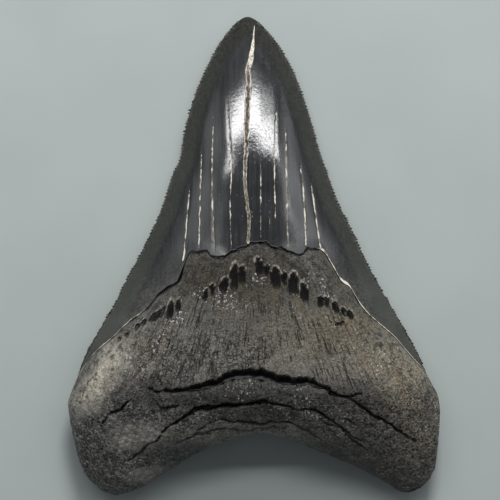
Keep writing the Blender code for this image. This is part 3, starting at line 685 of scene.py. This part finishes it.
def growth_pits(points):
    """How far each point lies inside a growth pit, 0 to 1, the pale lip above it, and the shade painted in
    it, darkest at its top.
    """
    x, y = points[..., 0], points[..., 1]
    pit, lip, painted_shade = (np.zeros(x.shape) for _ in range(3))
    wander = 0.18 * noise_at(points[..., :2], 1.2, 31.0)
    for px, py, width, length, lean, darkness in GROWTH_PITS:
        down = np.array([lean, -1]) / math.hypot(lean, 1)
        along = ((x - px) * down[0] + (y - py) * down[1]) / (length / 2)
        side = ((x - px) * down[1] - (y - py) * down[0]) / (width / 2)
        reach = np.hypot(np.where(along > 0, 0.8 * along, along), side) + wander
        inside = 1 - ramp(reach, 0.8, 1.08)
        fading = 1 - 0.8 * ramp(along, 0.2, 1.1)
        pit = np.maximum(pit, np.clip(1.08 - reach, 0, 1) ** 0.7 * (1 - 0.5 * ramp(along, 0, 1)) * darkness)
        painted_shade = np.maximum(painted_shade, inside * fading * darkness)
        rim = np.exp(-(((reach - 1.15) / 0.1) ** 2)) * ramp(-along, 0.1, 0.8)
        lip = np.maximum(lip, rim * darkness)
    return pit, lip * (1 - painted_shade), painted_shade


def tones(points):
    """How much lighter and warmer each point of the root is than its common grey."""
    flat = points[..., :2]
    x = points[..., 0] + 1.6 * noise_at(flat, 5.0, 41.0, 2)
    y = points[..., 1] + 1.6 * noise_at(flat, 5.0, 47.0, 2)
    light, warm = np.zeros(x.shape), np.zeros(x.shape)
    for middle_x, middle_y, half_width, half_height, lean, lighter, warmer in TONES:
        aside = (x - middle_x - lean * (y - middle_y)) / half_width
        share = np.exp(-(aside**2) - ((y - middle_y) / half_height) ** 2)
        light += lighter * share
        warm += warmer * share
    return light, np.clip(warm, 0, 1)


def make_root(material):
    bm = bmesh.new()
    sides = []
    for face, (columns, rows), enamel_edge, height_of, rim_drop, core_drop in (
        ("upper", ROOT_UPPER_GRID, UPPER_EDGE, root_upper, 0, CORE_DEPTH),
        ("lower", ROOT_LOWER_GRID, LOWER_EDGE, root_lower, EDGE_THICKNESS, -CORE_DEPTH),
    ):
        points = root_face(enamel_edge, columns, rows, height_of, rim_drop, core_drop)
        x, y = points[..., 0], points[..., 1]
        out = grid_normals(points) * (1 if face == "upper" else -1)
        below = np.interp(x, enamel_edge[:, 0], enamel_edge[:, 1]) - y
        rough = 0.3 + 0.7 * ramp(below, 3, 16)
        bumps = 0.35 * noise_at(points, 9.0, 2.0, 2) + 0.22 * noise_at(points, 2.4, 4.0, 2)
        grain = 0.17 * noise_at(points, 0.9, 6.0, 2)
        open_side = ramp(side_distance(x, y), -1, 2)
        relief = (bumps * open_side + grain) * rough * ramp(below, -1, 1)
        light, warm = tones(points)
        layers = {"below": below, "crevice": 0, "pit": 0, "lip": 0, "light": light, "warm": warm}
        if face == "upper":
            depth, painted_shade = crevices(points)
            pit, lip, painted_pit_shade = growth_pits(points)
            relief -= depth + PIT_DEPTH * pit - 0.1 * lip
            layers.update(crevice=painted_shade, pit=painted_pit_shade, lip=lip)
        points = points + out * relief[..., None]
        points[..., 2] = np.maximum(points[..., 2], 0)
        sides.append(bent_grid(bm, points, layers))
    for upper_side, lower_side in zip(*sides):
        bmesh.ops.bridge_loops(bm, edges=upper_side + lower_side)
    finished_piece("root", bm, material)


# Finishes


class Finish:
    """A node material, with a short way to add and link its nodes."""

    def __init__(self, name):
        self.material = bpy.data.materials.new(name)
        self.material.use_nodes = True
        self.tree = self.material.node_tree
        self.shader = self.tree.nodes["Principled BSDF"]
        self.position = self.add("ShaderNodeTexCoord").outputs["Object"]

    def add(self, kind, **settings):
        node = self.tree.nodes.new(kind)
        for name, value in settings.items():
            setattr(node, name, value)
        return node

    def plug(self, socket, value):
        if isinstance(value, bpy.types.NodeSocket):
            self.tree.links.new(value, socket)
        elif isinstance(value, tuple) and len(value) == 3 and socket.type == "RGBA":
            socket.default_value = (*value, 1)
        else:
            socket.default_value = value

    def layer(self, name):
        """A number kept on each point of the mesh."""
        return self.add("ShaderNodeAttribute", attribute_name=name).outputs["Fac"]

    def axes(self):
        """The three coordinates, in metres."""
        node = self.add("ShaderNodeSeparateXYZ")
        self.plug(node.inputs[0], self.position)
        return node.outputs

    def grey_of(self, value):
        node = self.add("ShaderNodeCombineColor")
        for socket in node.inputs:
            self.plug(socket, value)
        return node.outputs[0]

    def warped(self, size_mm, amount_mm):
        """The position in millimetres, pushed about by noise."""
        push = self.add("ShaderNodeTexNoise")
        self.plug(push.inputs["Vector"], self.position)
        push.inputs["Scale"].default_value = 1000 / size_mm
        centred = self.add("ShaderNodeVectorMath", operation="MULTIPLY_ADD")
        self.plug(centred.inputs[0], push.outputs["Color"])
        centred.inputs[1].default_value = (2 * amount_mm,) * 3
        centred.inputs[2].default_value = (-amount_mm,) * 3
        moved = self.add("ShaderNodeVectorMath", operation="MULTIPLY_ADD")
        self.plug(moved.inputs[0], self.position)
        moved.inputs[1].default_value = (1000,) * 3
        self.plug(moved.inputs[2], centred.outputs[0])
        return moved.outputs[0]

    def line_of(self, value, half_width):
        """1 along the noise's middle contour and 0 away from it."""
        return self.span(self.math("ABSOLUTE", self.minus(value, 0.5)), 0.3 * half_width, half_width, 1, 0)

    def stretched(self, x, y, z):
        node = self.add("ShaderNodeMapping")
        self.plug(node.inputs["Vector"], self.position)
        node.inputs["Scale"].default_value = (x, y, z)
        return node.outputs["Vector"]

    def noise(self, size_mm, detail=2.0, roughness=0.5, vector=None, distortion=0.0):
        node = self.add("ShaderNodeTexNoise")
        self.plug(node.inputs["Vector"], vector or self.position)
        node.inputs["Scale"].default_value = 1 if vector else 1000 / size_mm
        node.inputs["Detail"].default_value = detail
        node.inputs["Roughness"].default_value = roughness
        node.inputs["Distortion"].default_value = distortion
        return node.outputs["Fac"]

    def cells(self, size_mm, feature="F1", vector=None):
        """Distance inside cells of that size, from the position in metres or from a vector in millimetres."""
        node = self.add("ShaderNodeTexVoronoi", feature=feature)
        self.plug(node.inputs["Vector"], vector or self.position)
        node.inputs["Scale"].default_value = 1 / size_mm if vector else 1000 / size_mm
        return node.outputs["Distance"]

    def math(self, operation, a, b=0.0, clamp=False):
        node = self.add("ShaderNodeMath", operation=operation, use_clamp=clamp)
        self.plug(node.inputs[0], a)
        self.plug(node.inputs[1], b)
        return node.outputs[0]

    def plus(self, a, b, clamp=False):
        return self.math("ADD", a, b, clamp)

    def minus(self, a, b):
        return self.math("SUBTRACT", a, b)

    def times(self, first, *others):
        for other in others:
            first = self.math("MULTIPLY", first, other)
        return first

    def most(self, first, *others):
        for other in others:
            first = self.math("MAXIMUM", first, other)
        return first

    def span(self, value, low, high, to_low=0.0, to_high=1.0):
        """value moved smoothly from low..high to to_low..to_high."""
        node = self.add("ShaderNodeMapRange", interpolation_type="SMOOTHSTEP")
        for socket, number in zip(node.inputs[:5], (value, low, high, to_low, to_high)):
            self.plug(socket, number)
        return node.outputs[0]

    def blend(self, share, a, b, blend_type="MIX"):
        node = self.add("ShaderNodeMix", data_type="RGBA", blend_type=blend_type)
        self.plug(node.inputs[0], share)
        self.plug(node.inputs[6], a)
        self.plug(node.inputs[7], b)
        return node.outputs[2]

    def vector(self, *numbers):
        node = self.add("ShaderNodeCombineXYZ")
        for socket, number in zip(node.inputs, numbers):
            self.plug(socket, number)
        return node.outputs[0]

    def on_wings(self, x, y, wing, middle):
        """A number for the enamel's wings and one for its middle, on either side of the slanted border."""
        return self.span(self.minus(y, self.times(x, BORDER_SLANT)), WING_BELOW, MIDDLE_ABOVE, wing, middle)

    def turn_about(self, x, y, centre_y):
        """The turn from +Y about a point on the tooth's middle line."""
        return self.math("ARCTAN2", x, self.minus(y, centre_y))

    def bump(self, height, distance_mm, strength=1.0, under=None):
        node = self.add("ShaderNodeBump")
        node.inputs["Strength"].default_value = strength
        node.inputs["Distance"].default_value = distance_mm * MM
        self.plug(node.inputs["Height"], height)
        if under:
            self.plug(node.inputs["Normal"], under)
        return node.outputs["Normal"]


def enamel_finish():
    f = Finish("dark_enamel")
    charcoal, slate, olive = (0.011, 0.012, 0.014), (0.027, 0.029, 0.031), (0.022, 0.022, 0.017)
    cream, tan, dark_brown = (0.65, 0.60, 0.51), (0.22, 0.165, 0.11), (0.030, 0.018, 0.010)
    x, y, _ = f.axes()
    streaks = f.noise(1, 3, 0.6, f.stretched(2200, 70, 300))
    clouds = f.noise(6, 3)
    colour = f.blend(f.span(f.plus(streaks, f.times(clouds, 0.5)), 0.55, 0.95), charcoal, slate)
    wing = f.times(f.span(y, 0.006, -0.014), f.span(clouds, 0.35, 0.6, 0.5, 1))
    mottle = f.noise(0.8, 3, 0.7)
    wing_tone = f.blend(f.span(mottle, 0.36, 0.62), (0.034, 0.033, 0.030), (0.076, 0.075, 0.069))
    colour = f.blend(wing, colour, wing_tone)
    # A matt olive band runs along each cutting edge.
    edge = f.plus(f.layer("edge"), f.times(f.noise(3, 3, 0.6), 2.2))
    band = f.span(edge, 3.0, 7.6, 1, 0)
    band_tone = f.blend(f.span(mottle, 0.4, 0.6), (0.008, 0.008, 0.006), olive)
    colour = f.blend(band, colour, f.blend(wing, band_tone, (0.034, 0.034, 0.029)))
    # Worn tips of the saw teeth are paler.
    worn_tip = f.times(f.span(f.layer("edge"), 0.2, 0.9, 1, 0), f.span(f.noise(0.7, 2, 0.7), 0.48, 0.58))
    colour = f.blend(f.times(worn_tip, 0.6), colour, (0.115, 0.108, 0.085))
    # The hem is a bright line on the wings, where the enamel ends thin, and black painted along the middle as
    # the shade of its step.
    hem_noise = f.times(f.noise(0.8, 3, 0.7), 0.7)
    on_wing = f.on_wings(x, y, 1, 0)
    step = f.times(f.span(f.layer("hem"), 0.15, 0.35, 1, 0), f.minus(1.0, on_wing))
    colour = f.blend(step, colour, (0.004, 0.004, 0.004))
    on_wing = f.times(on_wing, f.span(f.noise(3.5, 3, 0.7), 0.4, 0.52, 0.25, 1))
    flaked = f.times(f.span(x, 0.012, 0.017, 0, 0.6), f.span(y, -0.016, -0.010))
    hem = f.minus(f.plus(f.layer("hem"), hem_noise), flaked)
    hem = f.times(f.span(hem, 0.55, 0.9, 1, 0), on_wing)
    colour = f.blend(hem, colour, cream)
    dust = f.times(f.span(f.noise(0.55, 2, 0.8), 0.66, 0.72), f.span(clouds, 0.4, 0.6, 0.2, 1))
    colour = f.blend(f.times(dust, f.span(y, 0.034, 0.022, 0, 0.5)), colour, (0.22, 0.21, 0.19))
    # Cracks show the paler dentine below, browner towards the root.
    ragged = f.minus(f.noise(0.6, 3, 0.8), 0.5)
    wide = f.minus(f.noise(1, 2, 0.6, f.stretched(700, 450, 300)), 0.5)
    aside = f.math("ABSOLUTE", x)
    browner = f.span(f.plus(y, f.times(clouds, 0.02)), 0.016, 0.034, 0.14, 0)
    browner = f.times(browner, f.span(aside, 0.009, 0.012, 1, -0.4))
    crack_tone = f.blend(f.span(f.minus(wide, browner), -0.1, 0.08), tan, cream)
    frayed = f.plus(f.times(ragged, 1.6), f.times(wide, 1.6))
    crack = f.span(f.minus(f.plus(f.layer("crack"), frayed), browner), 0.46, 0.64)
    crack = f.times(crack, f.span(f.layer("crack"), 0.1, 0.3))
    colour = f.blend(crack, colour, crack_tone)
    split = f.plus(f.plus(f.layer("split"), f.times(ragged, 0.7)), f.times(wide, 0.5))
    open_part = f.span(split, 0.26, 0.34)
    specks = f.span(f.noise(0.6, 2, 0.7), 0.52, 0.58, 0, 0.3)
    split_tone = f.minus(f.minus(mottle, browner), specks)
    split_tone = f.blend(f.span(split_tone, 0.24, 0.40), (0.10, 0.07, 0.045), cream)
    colour = f.blend(open_part, colour, split_tone)
    core = f.plus(split, f.times(wide, 0.9))
    core = f.times(f.span(core, 0.46, 0.6), f.span(y, 0.045, 0.050, 1, 0))
    core_tone = f.blend(f.span(f.noise(0.8, 3), 0.5, 0.6), dark_brown, tan)
    colour = f.blend(f.times(core, f.span(y, 0.018, 0.028, 0.75, 1)), colour, core_tone)
    f.plug(f.shader.inputs["Base Color"], colour)
    chalky = f.most(f.span(split, 0.2, 0.34), crack, f.times(hem, 0.5))
    gloss = f.plus(f.span(f.plus(y, f.times(clouds, 0.01)), 0.022, 0.05, 0.07, 0.12),
                   f.most(f.times(band, 0.24), f.span(aside, 0.004, 0.011, 0, 0.12)))
    foot = f.times(f.span(f.layer("hem"), 0.5, 3.5, 0.4, 0), f.span(aside, 0.006, 0.009))
    matt = f.most(step, worn_tip, foot)
    gloss = f.plus(gloss, f.times(matt, 0.5))
    f.plug(f.shader.inputs["Roughness"], f.plus(gloss, f.times(chalky, 0.35), clamp=True))
    f.shader.inputs["IOR"].default_value = 1.75
    # Worn scratches along the crown, and fine slanted ripples where it was rubbed most.
    normal = f.bump(streaks, 0.008, 0.4)
    rubbed = f.span(f.plus(y, f.times(clouds, 0.016)), 0.024, 0.036, 0.45, 1)
    rise = f.plus(y, f.times(aside, 0.7))
    run = f.minus(aside, f.times(y, 0.7))
    ripples = f.noise(1, 2, 0.6, f.vector(f.times(rise, 1500), f.times(run, 600), 0.0), 0.4)
    dents = f.plus(f.span(ripples, 0.44, 0.60), f.span(f.noise(0.6, 2, 0.7), 0.4, 0.6))
    normal = f.bump(f.times(dents, rubbed), 0.0045, 0.5, normal)
    normal = f.bump(f.times(mottle, band), 0.12, 0.8, normal)
    f.plug(f.shader.inputs["Normal"], normal)
    return f.material


def root_finish():
    f = Finish("weathered_root")
    dark_grey, pale_grey = (0.024, 0.023, 0.021), (0.34, 0.33, 0.30)
    tan, brown, rust = (0.182, 0.155, 0.100), (0.070, 0.057, 0.035), (0.13, 0.082, 0.04)
    black = (0.004, 0.004, 0.004)
    x, y, z = f.axes()
    below, light, warm = f.layer("below"), f.layer("light"), f.layer("warm")
    # Fibres run down and outwards from the crown.
    turn = f.turn_about(x, y, 0.030)
    fan = f.vector(f.times(turn, 80.0), f.times(y, 190.0), f.times(z, 100.0))
    fibres = f.noise(1, 4, 0.75, fan)
    long_fan = f.vector(f.times(turn, 42.0), f.times(y, 60.0), f.times(z, 40.0))
    fibre_lines = f.line_of(f.noise(1, 3, 0.6, long_fan), 0.028)
    lumps = f.noise(2.2, 4, 0.65)
    grain = f.noise(0.55, 3, 0.75)
    cells = f.cells(0.85, vector=f.warped(0.8, 0.4))
    dips = f.times(f.span(cells, 0.2, 0.42, 1, 0), f.span(f.noise(1.8, 2), 0.4, 0.54, 0.15, 1))
    # The upper root and the shoulders are fibrous, the lower root is granular.
    border = f.plus(y, f.times(lumps, 0.008))
    fibrous = f.most(f.span(border, -0.034, -0.027), f.span(light, 0.35, 0.8))
    granular = f.minus(1.0, fibrous)
    upper = f.times(fibrous, f.span(below, 1, 6))
    # Pale places are worn smooth, so their grain is faint.
    worn = f.span(light, 0.3, 1.1, 1, 0.12)
    strands = f.blend(f.span(fibres, 0.34, 0.64), (0.084, 0.080, 0.072), (0.146, 0.141, 0.128))
    grain_shade = f.times(f.span(grain, 0.5, 0.38), f.span(below, 7, 12, 0.85, 0.5))
    strands = f.blend(f.times(grain_shade, worn), strands, dark_grey)
    grains = f.blend(f.span(lumps, 0.36, 0.62), (0.042, 0.041, 0.038), (0.140, 0.136, 0.125))
    grains = f.blend(f.span(grain, 0.52, 0.4, 0, 0.9), grains, (0.014, 0.014, 0.013))
    colour = f.blend(fibrous, grains, strands)
    toned = f.blend(f.span(grain, 0.40, 0.60), brown, tan)
    colour = f.blend(f.times(warm, f.span(lumps, 0.3, 0.6, 0.5, 0.9)), colour, toned)
    # Pale specks painted on the grain as glints, more of them on the granular root.
    speck = f.times(f.span(grain, 0.57, 0.68), f.span(light, -0.6, 0.8, 0.2, 0.7), worn)
    speck = f.times(speck, f.plus(0.8, f.times(granular, 0.7)))
    colour = f.blend(speck, colour, pale_grey)
    # The tones lighten and darken the colour: worn and stained places, and painted light and shade.
    lift = f.blend(1.0, colour, f.grey_of(f.math("POWER", 2.0, light)), "MULTIPLY")
    colour = f.blend(f.times(dips, granular, 0.85), lift, black)
    rust_streaks = f.span(f.noise(1, 3, 0.7, long_fan), 0.54, 0.64)
    rusty = f.times(f.span(below, 6, 10), f.span(below, 13, 20, 0.4, 0), rust_streaks)
    colour = f.blend(rusty, colour, rust)
    stains = f.times(f.span(f.noise(2.0, 4, 0.75), 0.5, 0.6), f.span(below, 7, 14, 0.8, 0))
    colour = f.blend(stains, colour, (0.022, 0.019, 0.014))
    streak_lines = f.times(fibre_lines, upper, f.span(f.noise(5, 2), 0.4, 0.52))
    streak_lines = f.times(streak_lines, f.span(light, 0.3, 1.0, 1, 0.3))
    line_tone = f.blend(f.span(f.noise(3, 2), 0.5, 0.58), black, (0.030, 0.020, 0.012))
    colour = f.blend(f.times(streak_lines, 0.85), colour, line_tone)
    # Pale specks are painted as glints on the grains under the growth pits, where the roughness also drops.
    glint_area = f.most(f.times(f.span(below, 4, 9), f.span(below, 20, 11)), f.span(below, 30, 34, 0, 0.6))
    glint_area = f.times(glint_area, f.span(f.noise(5, 2), 0.48, 0.6))
    glint = f.times(f.span(f.noise(0.7, 2, 0.8), 0.58, 0.64), glint_area)
    colour = f.blend(f.times(glint, 0.75), colour, (0.62, 0.62, 0.60))
    # A fine net of cracks lies just above the great fissure and round the arch of the base.
    net_top = f.plus(y, f.times(lumps, 0.016))
    net_side = f.math("ABSOLUTE", f.plus(x, f.plus(0.008, f.times(lumps, 0.01))))
    band = f.times(f.span(y, -0.036, -0.031), f.span(net_top, -0.018, -0.006, 1, 0))
    band = f.times(band, f.span(net_side, 0.013, 0.022, 1, 0))
    arch = f.times(f.span(y, -0.037, -0.040), f.span(f.math("ABSOLUTE", x), 0.018, 0.026, 1, 0))
    net = f.span(f.cells(1.0, "DISTANCE_TO_EDGE", f.warped(1.2, 0.5)), 0.03, 0.11, 1, 0)
    net = f.times(net, f.most(band, arch), f.span(f.noise(3, 2), 0.34, 0.48))
    colour = f.blend(f.times(net, 0.7), colour, black)
    pores = f.span(f.cells(1.1, vector=f.warped(0.6, 0.3)), 0.16, 0.3, 1, 0)
    pores = f.times(pores, f.span(f.noise(4, 2), 0.46, 0.56), granular)
    colour = f.blend(pores, colour, black)
    # Black painted in the growth pits as their shade, darkest at their tops.
    pit = f.layer("pit")
    colour = f.blend(f.span(pit, 0.1, 0.8), colour, black)
    lip = f.times(f.layer("lip"), f.span(grain, 0.38, 0.5))
    colour = f.blend(lip, colour, (0.42, 0.39, 0.33))
    # Black painted on the root along the middle of the enamel's edge, as the shade of a narrow crack between
    # them.
    shade_width_noise = f.times(f.noise(1.3, 3, 0.7), f.on_wings(x, y, 0.8, 1.5))
    painted_gap_shade = f.span(f.minus(below, shade_width_noise), -0.35, 0.0, 1, 0)
    colour = f.blend(painted_gap_shade, colour, black)
    # Black painted inside the drying cracks and hairlines, as their shade.
    crevice = f.layer("crevice")
    colour = f.blend(crevice, colour, black)
    f.plug(f.shader.inputs["Base Color"], colour)
    pit_floor = f.span(pit, 0.15, 0.55)
    rough = f.minus(f.span(grain, 0.3, 0.7, 0.34, 0.54), f.times(glint, 0.15))
    rough = f.plus(rough, f.times(pit_floor, 0.45), clamp=True)
    f.plug(f.shader.inputs["Roughness"], rough)
    f.shader.inputs["IOR"].default_value = 1.5
    # Small relief stops where the surface drops into a pit or a drying crack, and on the painted shade along
    # the enamel's edge.
    open_face = f.minus(1.0, f.most(pit_floor, crevice, painted_gap_shade))
    holes = f.times(f.most(pores, net, dips), -1.2, f.most(granular, net))
    fibre_relief = f.times(f.minus(f.times(fibres, 1.2), streak_lines), fibrous)
    grain_relief = f.times(grain, f.plus(f.span(light, 0.3, 1.1, 1, 0.35), f.times(granular, 0.3)))
    normal = None
    for relief, distance_mm, strength in (
        (lumps, 0.7, 0.9), (holes, 0.3, 0.9), (fibre_relief, 0.16, 0.9), (grain_relief, 0.36, 1.0),
    ):
        normal = f.bump(f.times(relief, open_face), distance_mm, strength, normal)
    f.plug(f.shader.inputs["Normal"], normal)
    return f.material


def floor_finish():
    f = Finish("pale_board")
    colour = f.blend(f.span(f.noise(30, 2), 0.3, 0.7), (0.36, 0.40, 0.39), (0.38, 0.42, 0.41))
    f.plug(f.shader.inputs["Base Color"], colour)
    f.shader.inputs["Roughness"].default_value = 0.8
    return f.material


# Floor, lights and camera


def make_floor():
    bm = bmesh.new()
    bmesh.ops.create_grid(bm, x_segments=4, y_segments=4, size=2.5)
    mesh = bpy.data.meshes.new("floor")
    bm.to_mesh(mesh)
    bm.free()
    mesh.materials.append(floor_finish())
    floor = bpy.data.objects.new("floor", mesh)
    bpy.context.scene.collection.objects.link(floor)


def make_softbox(name, position, size, power, target=None, turn=0.0, reflected=True):
    """A soft light aimed at target, or straight down and turned about its own middle where there is none."""
    data = bpy.data.lights.new(name, "AREA")
    data.shape = "RECTANGLE"
    data.size, data.size_y = size
    data.energy = power
    light = bpy.data.objects.new(name, data)
    light.location = position
    if target:
        light.rotation_euler = (Vector(target) - Vector(position)).to_track_quat("-Z", "Y").to_euler()
    else:
        light.rotation_euler.z = math.radians(turn)
    light.visible_glossy = reflected
    bpy.context.scene.collection.objects.link(light)


def light_studio():
    world = bpy.data.worlds.new("studio")
    world.use_nodes = True
    world.node_tree.nodes["Background"].inputs["Color"].default_value = (0.9, 0.95, 1.0, 1)
    world.node_tree.nodes["Background"].inputs["Strength"].default_value = 0.16
    bpy.context.scene.world = world
    crown = (0.0, 0.035, 0.01)
    make_softbox("overhead_softbox", (-0.0675, 0.3405, 0.6), (0.605, 0.050), 1.9, turn=1.5)
    make_softbox("overhead_left", (-0.42, 0.345, 0.6), (0.10, 0.062), 0.22, turn=-5)
    make_softbox("overhead_right", (0.415, 0.369, 0.6), (0.37, 0.036), 0.85, turn=8.5)
    make_softbox("left_panel", (-0.602, 0.250, 0.397), (0.13, 0.25), 0.06, crown)
    make_softbox("left_soft_panel", (-0.602, 0.240, 0.397), (0.24, 0.36), 0.10, crown)
    make_softbox("right_panel", (0.585, 0.262, 0.397), (0.13, 0.25), 0.11, crown)
    make_softbox("right_soft_panel", (0.585, 0.225, 0.397), (0.20, 0.36), 0.14, crown)
    make_softbox("key_light", (0.08, 0.72, 0.52), (0.25, 0.25), 7.0, crown, reflected=False)


def place_camera():
    data = bpy.data.cameras.new("camera")
    data.sensor_width = 36
    rim = 5.0
    data.lens = 36 * (CAMERA_HEIGHT - rim * MM) / (VIEW_WIDTH * MM)
    data.clip_start = 0.01
    camera = bpy.data.objects.new("camera", data)
    camera.location = (VIEW_CENTRE[0] * MM, VIEW_CENTRE[1] * MM, CAMERA_HEIGHT)
    bpy.context.scene.collection.objects.link(camera)
    bpy.context.scene.camera = camera
    bpy.context.scene.view_settings.view_transform = "Standard"


make_crown(enamel_finish())
make_root(root_finish())
make_floor()
light_studio()
place_camera()
